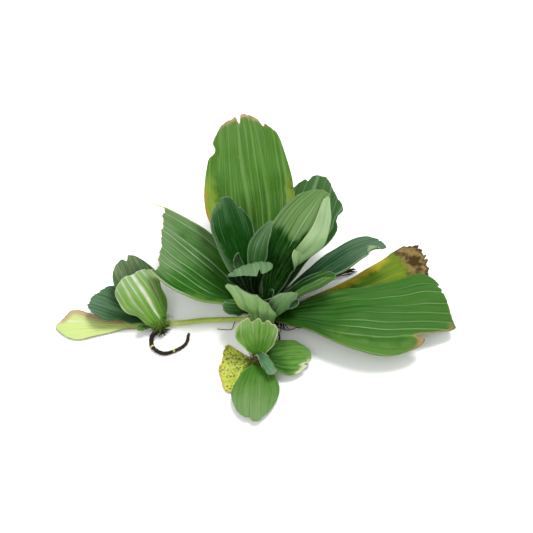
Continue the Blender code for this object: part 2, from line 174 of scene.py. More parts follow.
def blotchGroup():
    # soft uneven patches; Raw is the noise itself, around 0.5
    group, given, out = newGroup(
        "leafBlotches",
        [("Scale", floatSocket, 60.0), ("Seed", floatSocket, 0.0), ("From", floatSocket, 0.45),
         ("To", floatSocket, 0.7)],
        [("Mask", floatSocket), ("Raw", floatSocket)])
    raw = node(group, "ShaderNodeTexNoise",
               {"Vector": objectPlace(group), "W": given["Seed"], "Scale": given["Scale"], "Detail": 4.0,
                "Roughness": 0.55}, noise_dimensions="4D").outputs[0]
    group.links.new(raw, out["Raw"])
    group.links.new(ease(group, raw, given["From"], given["To"]), out["Mask"])
    return group


def rimGroup():
    # a ragged band along the margin; Distance is in mm from the leaf's edge
    group, given, out = newGroup(
        "leafRim",
        [("Distance", floatSocket, 1.0), ("Width", floatSocket, 1.5), ("Ragged", floatSocket, 1.0),
         ("Seed", floatSocket, 0.0)],
        [("Mask", floatSocket)])
    rough = node(group, "ShaderNodeTexNoise",
                 {"Vector": objectPlace(group), "W": given["Seed"], "Scale": 140.0, "Detail": 3.0},
                 noise_dimensions="4D").outputs[0]
    moved = stray(group, given["Distance"], rough, given["Ragged"])
    inner = times(group, given["Width"], 0.25)
    group.links.new(ease(group, moved, inner, given["Width"], 1.0, 0.0), out["Mask"])
    return group


def speckGroup():
    # small scattered dots, for rot spots
    group, given, out = newGroup(
        "leafSpecks",
        [("Scale", floatSocket, 300.0), ("Size", floatSocket, 0.2), ("Patchy", floatSocket, 0.5)],
        [("Mask", floatSocket)])
    place = objectPlace(group)
    cells = node(group, "ShaderNodeTexVoronoi", {"Vector": place, "Scale": given["Scale"]})
    dots = ease(group, cells.outputs["Distance"], given["Size"], times(group, given["Size"], 0.5))
    patch = node(group, "ShaderNodeTexNoise", {"Vector": place, "Scale": 55.0, "Detail": 2.0}).outputs[0]
    where = ease(group, patch, given["Patchy"], plus(group, given["Patchy"], 0.12))
    group.links.new(times(group, dots, where), out["Mask"])
    return group


leafVeins, leafBlotches, leafRim, leafSpecks = veinGroup(), blotchGroup(), rimGroup(), speckGroup()
print("shader groups ready")


def useGroup(tree, group, **values):
    made = tree.nodes.new("ShaderNodeGroup")
    made.node_tree = group
    for label, value in values.items():
        socket = made.inputs[label.replace("_", " ")]
        if isinstance(value, bpy.types.NodeSocket):
            tree.links.new(value, socket)
        else:
            socket.default_value = value
    return made.outputs


leafSurface = dict(
    marginBlend=0.06,  # how softly a coloured margin starts and ends, in shares of the blade
    hairGrain=1100.0, bump=0.6, bumpDepth=0.0009, sheenTint=(0.72, 0.82, 0.68, 1.0))


def stain(colour, width, amount, **where):
    # a coloured margin, width in mm; side 1 is the left-hand margin, -1 the right; start and end are along it
    return dict(colour=colour, width=width, amount=amount, **where)


def rottenEnd(tree, look, colour, rough, along, edge, small):
    # yellowing, then brown papery tissue, from a place along the blade outwards
    start = look["rot"]
    turned = stray(tree, along, small["Raw"], 0.22)
    colour = tint(tree, colour, ease(tree, turned, start - 0.34, start - 0.04), 0.4, look["rotYellow"])
    rotted = ease(tree, turned, start - 0.03, start + 0.04)
    patches = ease(tree, small["Raw"], 0.42, 0.6)
    brown = mixColour(tree, patches, linear(look["rotBrown"]), linear(look["rotDark"]))
    burnt = useGroup(tree, leafRim, Distance=edge, Width=3.2, Ragged=5.0, Seed=look["seed"])["Mask"]
    brown = tint(tree, brown, burnt, 0.8, look["rotDark"])
    return mixColour(tree, rotted, colour, brown), plus(tree, rough, times(tree, rotted, 0.2), clamp=True)


def leafSkin(name, look, ribs):
    material, tree, shader = newSkin(name)
    seed = look["seed"]
    uv = node(tree, "ShaderNodeUVMap", uv_map="bladeMap").outputs[0]
    sideways, along, _ = node(tree, "ShaderNodeSeparateXYZ", {0: uv}).outputs
    edge = node(tree, "ShaderNodeAttribute", attribute_name="marginDistance").outputs["Fac"]
    veins = useGroup(tree, leafVeins, UV=uv, Count=float(ribs), Width=look["veinWidth"],
                     Streak_count=ribs * 5.0, Seed=seed)
    large = useGroup(tree, leafBlotches, Scale=26.0, Seed=seed, From=0.4, To=0.62)
    small = useGroup(tree, leafBlotches, Scale=120.0, Seed=seed + 3.0, From=0.42, To=0.66)
    # base to tip, from deep to pale, broken up by the blotches and the bands between veins; the dark base is
    # partly the leaf's own deep green and partly painted shade of the crown's hollow
    climb = stray(tree, stray(tree, along, large["Raw"], 0.6), veins["Band"], look["banding"])
    greenAt = ease(tree, climb, *look["greening"])
    colour = mixColour(tree, greenAt, linear(look["deep"]), linear(look["green"]))
    colour = tint(tree, colour, ease(tree, climb, *look["paling"]), look["paleAmount"], look["pale"])
    colour = tint(tree, colour, small["Mask"], 0.08, look["pale"])
    # grooves beside the veins take the deep colour: painted shade in the creases
    colour = tint(tree, colour, veins["Groove"], look["grooveDark"], look["deep"])
    lightStreaks = ease(tree, veins["Streak"], 0.5, 0.68)
    colour = tint(tree, colour, lightStreaks, look["streakAmount"], look["streak"])
    darkStreaks = ease(tree, veins["Streak"], 0.32, 0.48, 1.0, 0.0)
    colour = tint(tree, colour, darkStreaks, look["streakAmount"], look["deep"])
    veinAt = times(tree, veins["Vein"], ease(tree, along, *look["veinFade"]))
    colour = tint(tree, colour, veinAt, look["veinAmount"], look["vein"])
    rough = plus(tree, times(tree, small["Raw"], 0.16), look["rough"] - 0.08)
    rim = stain(look["rim"], look["rimWidth"], look["rimAmount"])
    blend = leafSurface["marginBlend"]
    for number, margin in enumerate([rim, *look["margins"]]):
        width = margin["width"]
        mask = useGroup(tree, leafRim, Distance=edge, Width=width, Ragged=width * margin.get("ragged", 1.4),
                        Seed=seed + number)["Mask"]
        if margin.get("side"):
            facing = times(tree, calc(tree, "SUBTRACT", sideways, 0.5), margin["side"])
            mask = times(tree, mask, ease(tree, facing, 0.0, 0.12))
        for limit, levels in (("start", (0.0, 1.0)), ("end", (1.0, 0.0))):
            if limit in margin:
                within = ease(tree, along, margin[limit] - blend, margin[limit] + blend, *levels)
                mask = times(tree, mask, within)
        colour = tint(tree, colour, mask, margin["amount"], margin["colour"])
    if look["rot"]:
        colour, rough = rottenEnd(tree, look, colour, rough, along, edge, small)
    for scale, size, patchy, spotColour in look["spots"]:
        specks = useGroup(tree, leafSpecks, Scale=scale, Size=size, Patchy=patchy)
        colour = tint(tree, colour, specks["Mask"], 0.85, spotColour)
    # dusty grain of the fine water-shedding hairs
    hairs = node(tree, "ShaderNodeTexNoise", {"Vector": objectPlace(tree), "Scale": leafSurface["hairGrain"],
                                              "Detail": 2.0}).outputs[0]
    colour = tint(tree, colour, ease(tree, hairs, 0.46, 0.68), look["dust"], look["streak"])
    tree.links.new(colour, shader.inputs["Base Color"])
    tree.links.new(rough, shader.inputs["Roughness"])
    height = plus(tree, times(tree, veins["Streak"], 0.6), times(tree, hairs, 0.16))
    height = plus(tree, height, times(tree, veins["Vein"], look["veinRise"]))
    addBump(tree, shader, height, leafSurface["bump"], leafSurface["bumpDepth"])
    shader.inputs["Specular IOR Level"].default_value = look["gloss"]
    shader.inputs["Sheen Weight"].default_value = look["sheen"]
    shader.inputs["Sheen Roughness"].default_value = 0.5
    shader.inputs["Sheen Tint"].default_value = leafSurface["sheenTint"]
    return material


# ---- the blade: same bends as the frame's leaf, with ribs, ruffles and torn edges added

# azimuth, sway, pitch, bend, curl and roll are in degrees; sway and bend are what is gained by the tip.
# tip gives how far the blade reaches at places across it, from -1 at its right-hand margin to 1 at its
# left; wide gives its left and right half widths at places along it. A notch is (place across, depth,
# width), a bite (side, place along, depth, size), a fold (degrees, start, span) counted from the midrib.
nudge = 0.004  # step used to find which way a blade faces
lowestBlade = 0.5  # mm above the table
marginThickness = 0.62  # mm

leafBase = dict(
    crown="mother", sway=0.0, curl=0.0, roll=0.0, neck=0.24, widest=0.66, spread=1.3, tipRound=0.30,
    corner=0.1, cup=(60, 25), foldLeft=(0, 0.5, 0.4), foldRight=(0, 0.5, 0.4), foldGrows=(0.0, 0.4),
    notches=(), stem=3.2, tip=(), wide=(), ribs=9, ribHeight=0.5, ruffle=(0.5, 3.0), wave=0.7, ragged=0.006,
    bites=(), crumple=(0.0, 0.8), cells=(90, 72))

greenLook = dict(
    deep="#1f5208", green="#457a22", pale="#7fa252", streak="#86a862", vein="#a3c084", rim="#a9bb6e",
    greening=(0.05, 0.5), paling=(0.55, 1.1), paleAmount=0.4, grooveDark=0.45, streakAmount=0.3,
    veinAmount=0.6, veinWidth=0.16, veinFade=(0.0, 0.2), veinRise=0.5, rimWidth=0.7, rimAmount=0.4,
    rough=0.5, gloss=0.1, banding=0.6, sheen=0.0, dust=0.03, rot=0, rotYellow="#a9a53a", rotBrown="#a38a58",
    rotDark="#574021", margins=(), spots=(), seed=1.0)
velvetLook = dict(
    greenLook, deep="#042f02", green="#1f5a14", pale="#6f9862", streak="#4f8a3c", vein="#98b88c",
    rim="#93ad84", rough=0.75, gloss=0.03, dust=0.05, paling=(0.5, 1.0), paleAmount=0.7)
paleLook = dict(
    velvetLook, deep="#2f5a20", green="#6a9350", pale="#93b07e", streak="#a5bd90", vein="#c3d5b0",
    rim="#c6d4aa", paleAmount=0.5)
oldLook = dict(
    greenLook, deep="#6f8f1c", green="#a9bd35", pale="#d8de7a", streak="#dfe58f", vein="#e6eaa8",
    rim="#c49a4a", rough=0.62, gloss=0.25, sheen=0.04, paleAmount=0.6, rimAmount=0.7)


def through(x, pairs):  # a smooth curve through a few (place, value) pairs
    at, value = np.array(pairs, float).T
    slope = np.gradient(value, at)
    k = np.clip(np.searchsorted(at, x) - 1, 0, len(at) - 2)
    gap = at[k + 1] - at[k]
    t = np.clip((x - at[k]) / gap, 0, 1)
    return ((2 * t**3 - 3 * t**2 + 1) * value[k] + (t**3 - 2 * t**2 + t) * gap * slope[k]
            + (3 * t**2 - 2 * t**3) * value[k + 1] + (t**3 - t**2) * gap * slope[k + 1])


def smooth(x):
    x = np.clip(x, 0.0, 1.0)
    return x * x * (3.0 - 2.0 * x)


def heading(leaf, s):
    pitch = np.radians(leaf["pitch"] + leaf["bend"] * s + leaf["curl"] * smooth((s - 0.65) / 0.35))
    turn = np.radians(leaf["azimuth"] + leaf["sway"] * s)
    bank = math.radians(leaf["roll"])
    along = np.stack([np.cos(pitch) * np.cos(turn), np.cos(pitch) * np.sin(turn), np.sin(pitch)], axis=1)
    level = np.stack([-np.sin(turn), np.cos(turn), np.zeros_like(turn)], axis=1)
    up = np.cross(along, level)
    return along, level * np.cos(bank) + up * np.sin(bank), up * np.cos(bank) - level * np.sin(bank)


def midrib(leaf, steps=96):
    along = heading(leaf, (np.arange(steps) + 0.5) / steps)[0]
    turn = math.radians(leaf["azimuth"])
    out = leaf["radius"]
    start = crowns[leaf["crown"]] + [out * math.cos(turn), out * math.sin(turn), leaf["height"]]
    ends = np.arange(steps + 1) / steps
    _, side, up = heading(leaf, ends)
    points = start + np.vstack([np.zeros(3), np.cumsum(along, axis=0)]) * leaf["length"] / steps
    return ends, points, side, up


def halfWidth(leaf, s, v):
    if leaf["wide"]:
        left = through(s, [(place, wide) for place, wide, _ in leaf["wide"]])
        right = through(s, [(place, wide) for place, _, wide in leaf["wide"]])
        return np.where(v > 0, left, right)
    rise = np.sin(0.5 * math.pi * np.clip(s / leaf["widest"], 0, 1) ** leaf["spread"])
    return 0.5 * leaf["width"] * (leaf["neck"] + (1.0 - leaf["neck"]) * rise)


def tipReach(leaf, v):
    if leaf["tip"]:
        reach = through(v, leaf["tip"])
    else:
        reach = 1.0 - leaf["tipRound"] * (1.0 - (1.0 - np.abs(v) ** 2.4) ** (1 / 2.4))
    for place, depth, width in leaf["notches"]:
        reach = reach - depth * np.exp(-(((v - place) / width) ** 2))
    reach = reach - leaf["corner"] * np.abs(v) ** 16
    seed = leaf["look"]["seed"] * 1.7
    frayed = (0.6 * np.sin(v * 11 + seed) + 0.4 * np.sin(v * 27 + seed * 2.3)
              + 0.2 * np.sin(v * 61 + seed * 3.1))
    return reach + leaf["ragged"] * frayed


def crossSection(leaf, s, v, steps=20):
    q = np.abs(v)[..., None] * (np.arange(steps) + 0.5) / steps
    cup = np.radians(leaf["cup"][0] + (leaf["cup"][1] - leaf["cup"][0]) * smooth(s / 0.6))
    angle = cup[..., None] * q
    grown = smooth((s - leaf["foldGrows"][0]) / leaf["foldGrows"][1])[..., None]
    for (degrees, start, span), sign in ((leaf["foldLeft"], 1.0), (leaf["foldRight"], -1.0)):
        fold = math.radians(degrees) * smooth((q - start) / span) * grown
        angle = angle + np.where((v * sign > 0)[..., None], fold, 0.0)
    step = np.abs(v) / steps
    return np.cos(angle).sum(axis=-1) * step * np.sign(v), np.sin(angle).sum(axis=-1) * step


def blade(leaf, u, v):
    s = u * tipReach(leaf, v)
    for side, place, depth, size in leaf["bites"]:
        pull = depth * np.exp(-np.abs((s - place) / size) ** 3) * np.abs(v) ** 5
        v = np.where(v * side > 0, v - side * pull, v)
    at, *sources = midrib(leaf)
    centre, left, up = (np.stack([np.interp(s, at, source[:, k]) for k in range(3)], axis=-1)
                        for source in sources)
    across, lift = crossSection(leaf, s, v)
    w = halfWidth(leaf, s, v)
    return centre + left * (across * w)[..., None] + up * (lift * w)[..., None], s, w


def wander(leaf, s, v):  # how far a vein strays from its straight fan
    seed = leaf["look"]["seed"]
    sway = 0.016 * np.sin(5.0 * s + 3.0 * v + seed) + 0.004 * np.sin(12.0 * s - 6.0 * v + 2.0 * seed)
    return sway + 0.026 * np.sin(12.0 * v + seed + 1.5 * s) + 0.012 * np.sin(26.0 * v - 2.0 * s + 2.0 * seed)


def relief(leaf, points, s, v):
    seed = leaf["look"]["seed"]
    place = (0.5 + 0.5 * (v + wander(leaf, s, v))) * leaf["ribs"]
    ridges = (np.abs(np.sin(math.pi * place)) ** 0.75 - 0.6) * (0.75 + 0.5 * np.sin(place * 2.3 + seed) ** 2)
    strength = smooth(s / 0.12) * (1.0 - 0.45 * smooth((s - 0.45) / 0.55)) * (1.0 - 0.5 * np.abs(v) ** 4)
    height = leaf["ribHeight"] * ridges * strength
    depth, count = leaf["ruffle"]
    fromBase = smooth(s / 0.3)
    phase = seed + np.where(v > 0, 0.0, 1.9)  # the two margins ruffle out of step
    height += depth * np.abs(v) ** 3 * np.sin(count * 2 * math.pi * s + phase) * fromBase
    rolls = np.array([noise.noise(Vector(p) * 0.045 + Vector((seed, 0, 0))) for p in points])
    height += leaf["wave"] * rolls * 1.6 * fromBase
    depth, start = leaf["crumple"]  # dry tissue shrinks into creases
    if depth:
        shift = Vector((0, seed, 0))
        creases = np.array([noise.turbulence(Vector(p) * 0.11 + shift, 3, True) for p in points])
        height += depth * (creases - 0.5) * smooth((s - start + 0.12) / 0.2)
    return height


def addObject(name, data):
    made = bpy.data.objects.new(name, data)
    bpy.context.scene.collection.objects.link(made)
    return made


def camelName(name):
    first, *rest = name.split("_")
    return first + "".join(word.capitalize() for word in rest)


def growLeaf(cadName, slot, **shape):
    leaf = dict(leafBase, **shape)
    rows, columns = leaf["cells"]
    grid = bmesh.new()
    bmesh.ops.create_grid(grid, x_segments=rows, y_segments=columns, size=1.0)
    flat = np.array([vertex.co[:2] for vertex in grid.verts])
    u, v = (flat[:, 0] + 1) / 2, flat[:, 1]
    points, s, w = blade(leaf, u, v)
    alongStep = blade(leaf, np.clip(u + nudge, 0, 1), v)[0] - blade(leaf, np.clip(u - nudge, 0, 1), v)[0]
    acrossStep = blade(leaf, u, np.clip(v + nudge, -1, 1))[0] - blade(leaf, u, np.clip(v - nudge, -1, 1))[0]
    normal = np.cross(alongStep, acrossStep)
    normal /= np.maximum(np.linalg.norm(normal, axis=1), 1e-9)[:, None]
    points = points + normal * relief(leaf, points, s, v)[:, None]
    points[:, 2] = np.maximum(points[:, 2], lowestBlade)
    for vertex, point in zip(grid.verts, points * mm):
        vertex.co = point
    mesh = bpy.data.meshes.new(camelName(cadName))
    grid.to_mesh(mesh)
    grid.free()
    corner = np.empty(len(mesh.loops), dtype=np.int32)
    mesh.loops.foreach_get("vertex_index", corner)
    bladeMap = np.stack([0.5 + 0.5 * (v + wander(leaf, s, v)), s], axis=1)
    mesh.uv_layers.new(name="bladeMap").data.foreach_set("uv", bladeMap[corner].astype(np.float32).ravel())
    margin = np.minimum(w * (1 - np.abs(v)), leaf["length"] * (1 - u) * tipReach(leaf, v))
    distance = mesh.attributes.new("marginDistance", "FLOAT", "POINT")
    distance.data.foreach_set("value", margin.astype(np.float32))
    piece = addObject(camelName(cadName), mesh)
    under = dict(leaf["look"], **leaf.get("under", {}))
    for face, look in (("Upper", leaf["look"]), ("Under", under)):
        mesh.materials.append(leafSkin(piece.name + face, look, leaf["ribs"]))
    thick = piece.vertex_groups.new(name="thick")
    for index, weight in enumerate((1 - u) ** 1.5 * (1 - 0.7 * v * v)):
        thick.add([index], float(weight), "REPLACE")
    shell = piece.modifiers.new("thickness", "SOLIDIFY")
    shell.thickness = leaf["stem"] * mm
    shell.offset = 0.0
    shell.vertex_group = thick.name
    shell.thickness_vertex_group = marginThickness / leaf["stem"]
    shell.material_offset = 1
    shell.material_offset_rim = 0
    mesh.shade_smooth()
    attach(piece, "root")
    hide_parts(cadName)
    return leaf


# ---- mother plant, outer leaves

paleUnder = dict(deep="#5f8a45", green="#86a866", pale="#a9c290", veinAmount=0.7, veinRise=0.8, rough=0.68)

growLeaf(
    "back_leaf", "outer_green", azimuth=97, radius=9.8, height=15.4, pitch=40, bend=-25, length=150, sway=2,
    cup=(45, 12),
    wide=((0, 7, 7), (0.15, 15, 15), (0.3, 27, 25), (0.45, 35, 32), (0.6, 35, 34), (0.75, 32, 34),
        (0.88, 28, 34), (1, 24, 30)),
    tip=((-1, 0.64), (-0.85, 0.82), (-0.62, 0.92), (-0.4, 0.975), (-0.1, 1.0), (0.12, 0.985), (0.35, 0.97),
        (0.6, 0.93), (0.85, 0.82), (1, 0.66)),
    notches=((0.03, 0.05, 0.05), (-0.52, 0.035, 0.05)), bites=((1, 0.80, 0.3, 0.03),
        (-1, 0.56, 0.05, 0.02)), ribs=13, ribHeight=0.55, ruffle=(1.0, 2.4), wave=1.6, ragged=0.006,
    cells=(140, 120), under=paleUnder,
    look=dict(greenLook, deep="#235604", green="#427a14", greening=(0.3, 0.72), pale="#628c3c",
        streak="#7aa344", paleAmount=0.6, vein="#86ad58", veinAmount=0.5, veinWidth=0.2,
        veinFade=(0.1, 0.4), streakAmount=0.4, grooveDark=0.3, rim="#7d8a3a", banding=0.7, seed=1.0,
        margins=(stain("#93ad33", 13, 0.75, side=1, start=0.32, end=0.66),
            stain("#c08a3a", 2.2, 0.8, side=1, start=0.30, end=0.72, ragged=2.5),
            stain("#8ea52c", 9, 0.6, side=-1, start=0.28, end=0.62),
            stain("#b38a52", 1.6, 0.9, start=0.74, ragged=2.5),
            stain("#c9a77c", 5, 0.95, start=0.95, ragged=2.6),
            stain("#54401f", 0.8, 0.8, start=0.9, ragged=3.0)),
        spots=((130.0, 0.22, 0.6, "#a08a3c"),)))

tornLeaf = growLeaf(
    "torn_left_leaf", "outer_green", azimuth=148, radius=10.2, height=12.5, pitch=18, bend=-4, length=106,
    sway=-6, roll=6, corner=0.0, cup=(45, 20),
    wide=((0, 5, 6), (0.12, 12, 12), (0.3, 28, 21), (0.45, 33, 28), (0.6, 34, 31), (0.8, 32, 29),
        (1, 29, 24)),
    tip=((-1, 1.0), (-0.85, 0.965), (-0.7, 0.95), (-0.4, 0.9), (0, 0.825), (0.4, 0.74), (0.75, 0.685),
        (0.9, 0.69), (1, 0.71)), ribs=11, ribHeight=0.9, ruffle=(0.9, 1.6), wave=1.2, ragged=0.010,
    cells=(120, 104), under=paleUnder,
    look=dict(velvetLook, deep="#195204", green="#2f6e14", pale="#7da068", streak="#5f9448",
        paling=(0.42, 0.78), paleAmount=0.9, vein="#b3c8a2", veinAmount=0.95, veinWidth=0.14,
        grooveDark=0.5, rim="#b7b98a", rimWidth=0.8, banding=0.9, seed=2.0,
        margins=(stain("#6f9a35", 9, 0.55, side=1, end=0.4), stain("#5c8a28", 8, 0.4, side=-1, end=0.45),
            stain("#c2b481", 0.9, 0.7, start=0.6, ragged=2.4))))

growLeaf(
    "right_leaf", "outer_green", azimuth=-8, radius=10.2, height=12.5, pitch=11, bend=-24, length=132,
    sway=17, roll=-4, cup=(40, -6),
    wide=((0, 7, 7), (0.15, 14, 15), (0.3, 22, 25), (0.45, 29, 33), (0.6, 36, 36), (0.75, 42, 36),
        (0.88, 46, 35), (1, 46, 34)),
    tip=((-1, 0.66), (-0.86, 0.735), (-0.72, 0.785), (-0.62, 0.8), (-0.54, 0.79), (-0.46, 0.83),
        (-0.4, 0.93), (-0.33, 0.985), (-0.2, 1.0), (0, 1.0), (0.4, 1.0), (0.7, 1.0), (0.85, 0.995),
        (0.94, 0.985), (1, 0.97)),
    notches=((0.72, 0.02, 0.03), (0.58, 0.012, 0.025), (-0.5, 0.035, 0.06)), ribs=9, ribHeight=0.95,
    ruffle=(1.1, 2.0), wave=1.3, ragged=0.003, cells=(150, 130), under=paleUnder,
    look=dict(greenLook, deep="#1d5204", green="#33700f", pale="#477a2c", streak="#4a8222", vein="#8fb070",
        veinAmount=0.75, veinWidth=0.1, veinFade=(0.1, 0.45), grooveDark=0.55, streakAmount=0.35,
        paling=(0.3, 0.9), paleAmount=0.5, rim="#86984e", rimWidth=0.9, rough=0.5, gloss=0.12, banding=0.9,
        seed=3.0,
        margins=(stain("#6f9a38", 20, 0.4, side=-1, start=0.3, end=0.74),
            stain("#b99262", 7, 1.0, side=-1, start=0.74, end=0.97, ragged=1.3),
            stain("#8c6233", 1.2, 0.8, side=-1, start=0.74, end=0.95, ragged=2.0),
            stain("#7a7a3c", 1.4, 0.6, start=0.88, ragged=2.0))))

growLeaf(
    "yellowed_leaf", "old_yellow", azimuth=24, radius=15, height=6.6, pitch=-2, bend=2, length=128, sway=4,
    cup=(30, 6),
    wide=((0, 4, 5), (0.2, 6, 10), (0.4, 8, 15), (0.6, 12, 20), (0.75, 15.5, 22), (0.87, 21, 22),
        (1, 24, 22)),
    tip=((-1, 0.86), (-0.6, 0.94), (-0.2, 0.97), (0.2, 1.0), (0.55, 0.99), (0.8, 0.96), (1, 0.9)),
    notches=((0.1, 0.03, 0.06), (-0.5, 0.03, 0.08)), ribs=9, ribHeight=0.8, ruffle=(0.8, 2.6), wave=1.0,
    ragged=0.016, crumple=(6.0, 0.84), cells=(130, 96),
    look=dict(oldLook, gloss=0.08, deep="#1f5a00", green="#3c7602", pale="#76941a", streak="#648c1c",
        vein="#9ab23e", veinAmount=0.5, veinWidth=0.2, rim="#a8a32c", rimWidth=1.0, rot=0.83,
        rotYellow="#93a02c", rotBrown="#a08755", rotDark="#4f3a1c", banding=0.6, seed=4.0,
        margins=(stain("#cdb92e", 8, 0.85, side=1, start=0.3, end=0.78),
            stain("#c99a3c", 1.2, 0.7, side=1, ragged=2.0)),
        spots=((300.0, 0.26, 0.6, "#8a5a2a"),)))

growLeaf(
    "behind_right_leaf", "velvet_green", azimuth=60, radius=9.8, height=12.2, pitch=26, bend=-5, length=111,
    sway=9, roll=-10, cup=(40, 16),
    wide=((0, 5, 5), (0.2, 8, 7), (0.4, 14, 14), (0.55, 20, 22), (0.7, 25, 28), (0.85, 28, 27),
        (1, 27, 24)),
    tip=((-1, 0.7), (-0.8, 0.8), (-0.55, 0.86), (-0.3, 0.93), (0, 0.99), (0.3, 1.0), (0.6, 0.95),
        (0.85, 0.85), (1, 0.74)),
    notches=((0.5, 0.04, 0.06),), bites=((-1, 0.72, 0.3, 0.05),), ribs=8, ribHeight=0.8, wave=1.2,
    cells=(104, 90), under=paleUnder,
    look=dict(velvetLook, deep="#17480c", green="#2f5f24", pale="#5c8151", paleAmount=0.7, grooveDark=0.5,
        seed=5.0))

growLeaf(
    "narrow_right_leaf", "velvet_green", azimuth=32, radius=9.2, height=18.4, pitch=17, bend=-9, length=98,
    sway=1, roll=-6, cup=(50, 15), curl=-22,
    wide=((0, 2.6, 2.6), (0.2, 6, 7), (0.4, 9, 10.5), (0.6, 11, 13), (0.75, 11, 13), (0.88, 9, 12),
        (1, 6, 11)),
    tip=((-1, 0.97), (-0.5, 1.0), (0, 0.995), (0.5, 0.98), (1, 0.93)), bites=((-1, 0.87, 0.85, 0.055),),
    foldRight=(90, 0.72, 0.3), ribs=8, ribHeight=0.9, ruffle=(1.1, 2.6), cells=(110, 76), under=paleUnder,
    look=dict(velvetLook, deep="#0b3312", green="#2b5733", pale="#6f8f70", streak="#7c997c", vein="#93ab92",
        veinAmount=0.7, grooveDark=0.6, paleAmount=0.7, banding=0.8, seed=6.0))
print("outer leaves grown")

# ---- mother plant, inner leaves

# the inner leaves' near-black bases are painted shade of the crown's heart as well as their own deep green
growLeaf(
    "inner_left_leaf", "velvet_green", azimuth=124, radius=9.8, height=20, pitch=53, bend=-8, length=82,
    sway=-15, cup=(35, 10),
    wide=((0, 3.6, 3.6), (0.2, 7.5, 6.5), (0.4, 13, 11.5), (0.6, 17, 15), (0.75, 18, 15.5), (0.88, 16, 14),
        (1, 13, 12)),
    tip=((-1, 0.72), (-0.75, 0.86), (-0.4, 0.97), (0, 1.0), (0.4, 0.97), (0.75, 0.88), (1, 0.74)),
    notches=((0.3, 0.035, 0.07), (-0.62, 0.03, 0.08)), foldLeft=(50, 0.8, 0.2), foldRight=(40, 0.8, 0.2),
    ribs=8, ribHeight=1.0, ruffle=(0.9, 1.8), cells=(104, 84), under=paleUnder,
    look=dict(velvetLook, deep="#013301", green="#124a0a", pale="#4f7a4a", streak="#3f6e30", vein="#83a086",
        veinAmount=0.6, grooveDark=0.6, rim="#8fa98c", rimWidth=1.0, rimAmount=0.6, paling=(0.62, 1.05),
        paleAmount=0.75, banding=0.8, seed=7.0,
        margins=(stain("#6f8f63", 6, 0.6, side=1, start=0.2),)))

growLeaf(
    "inner_right_leaf", "pale_green", azimuth=72, radius=7, height=24.4, pitch=44, bend=-28, length=93,
    sway=-28, cup=(50, 15),
    wide=((0, 4, 6), (0.15, 8, 12), (0.3, 13, 20), (0.4, 15.5, 28), (0.5, 17, 37), (0.6, 17, 42),
        (0.7, 16, 41), (0.8, 14, 34), (0.9, 11, 22), (1, 7, 11)),
    tip=((-1, 0.97), (-0.5, 1.0), (0, 1.0), (0.5, 0.97), (1, 0.9)), foldRight=(164, 0.6, 0.12),
    foldGrows=(0.27, 0.18), stem=2.6, ribs=11, ribHeight=1.2, ruffle=(2.6, 2.4), wave=1.8, cells=(120, 130),
    under=dict(deep="#7fa068", green="#94b47c", pale="#aac894", paleAmount=0.9, grooveDark=0.1,
        veinAmount=0.12, streak="#b5cf9c", streakAmount=0.3, rim="#c9d79c", rimAmount=0.6, rimWidth=1.0),
    # a quick change from dark lower blade to pale upper blade: the paler top is partly the leaf's own tone
    # and partly painted light, the dark lower half is painted shade of a cast shadow
    look=dict(velvetLook, deep="#022a01", green="#14490a", pale="#7ba060", streak="#4f8a34", vein="#aec79a",
        veinAmount=0.9, veinWidth=0.14, veinFade=(0.3, 0.6), greening=(0.2, 0.62), paling=(0.5, 0.66),
        paleAmount=0.95, grooveDark=0.5, banding=0.5, seed=8.0))

growLeaf(
    "folded_right_leaf", "velvet_green", azimuth=14, radius=8, height=21.4, pitch=27, bend=-10, length=51,
    sway=6, cup=(50, 25),
    wide=((0, 2.4, 2.4), (0.25, 6, 7), (0.5, 9, 12), (0.75, 9, 15), (1, 6, 11)),
    tip=((-1, 0.86), (-0.4, 0.97), (0, 1.0), (0.5, 0.98), (1, 0.9)), foldRight=(75, 0.12, 0.35), stem=2.4,
    ribs=7, ribHeight=0.5, cells=(84, 70),
    under=dict(deep="#3f6c2c", green="#5f8a46", pale="#7f9f68", paleAmount=0.6),
    look=dict(velvetLook, deep="#021f02", green="#11400c", pale="#4f7a38", paling=(0.5, 0.95), seed=9.0,
        margins=(stain("#6a9a4c", 8, 0.9, side=-1, start=0.25),)))

growLeaf(
    "hooded_leaf", "velvet_green", azimuth=160, radius=5, height=26, pitch=52, bend=80, length=60, sway=-66,
    curl=70, cup=(50, 45),
    wide=((0, 4, 4), (0.2, 9, 9), (0.4, 14, 14), (0.6, 17, 17), (0.8, 18.5, 18), (1, 17, 16)),
    tip=((-1, 0.86), (-0.6, 0.96), (0, 1.0), (0.35, 0.98), (0.7, 0.97), (0.9, 0.93), (1, 0.88)),
    notches=((-0.35, 0.08, 0.09),), stem=1.8, ribs=7, ribHeight=-1.3, ruffle=(1.6, 1.5), wave=1.6,
    cells=(110, 90),
    under=dict(deep="#2f5a28", green="#4f7a48", pale="#7b9a72", veinAmount=0.5, paleAmount=0.8,
        vein="#9fb892", grooveDark=0.5),
    # upper side nearly black-green: painted shade of the hollow under the hood, over the leaf's own dark
    # velvet
    look=dict(velvetLook, deep="#021a01", green="#0f300c", pale="#3f5f38", vein="#6f8a66", veinAmount=0.3,
        grooveDark=0.7, rimWidth=1.0, seed=10.0))

growLeaf(
    "rolled_back_leaf", "velvet_green", azimuth=116, radius=8.6, height=23.5, pitch=74, bend=-36, length=63,
    sway=-78, cup=(70, 50),
    wide=((0, 1.7, 1.7), (0.3, 4.5, 4), (0.5, 8, 7), (0.7, 8.5, 7), (0.85, 6, 5), (1, 3, 2.5)),
    tip=((-1, 0.94), (0, 1.0), (1, 0.94)), stem=1.8, ribs=6, ribHeight=0.9, cells=(90, 60), under=paleUnder,
    look=dict(velvetLook, deep="#1f4f18", green="#3f6f34", pale="#7f9f76", vein="#a3ba98", grooveDark=0.6,
        seed=11.0))

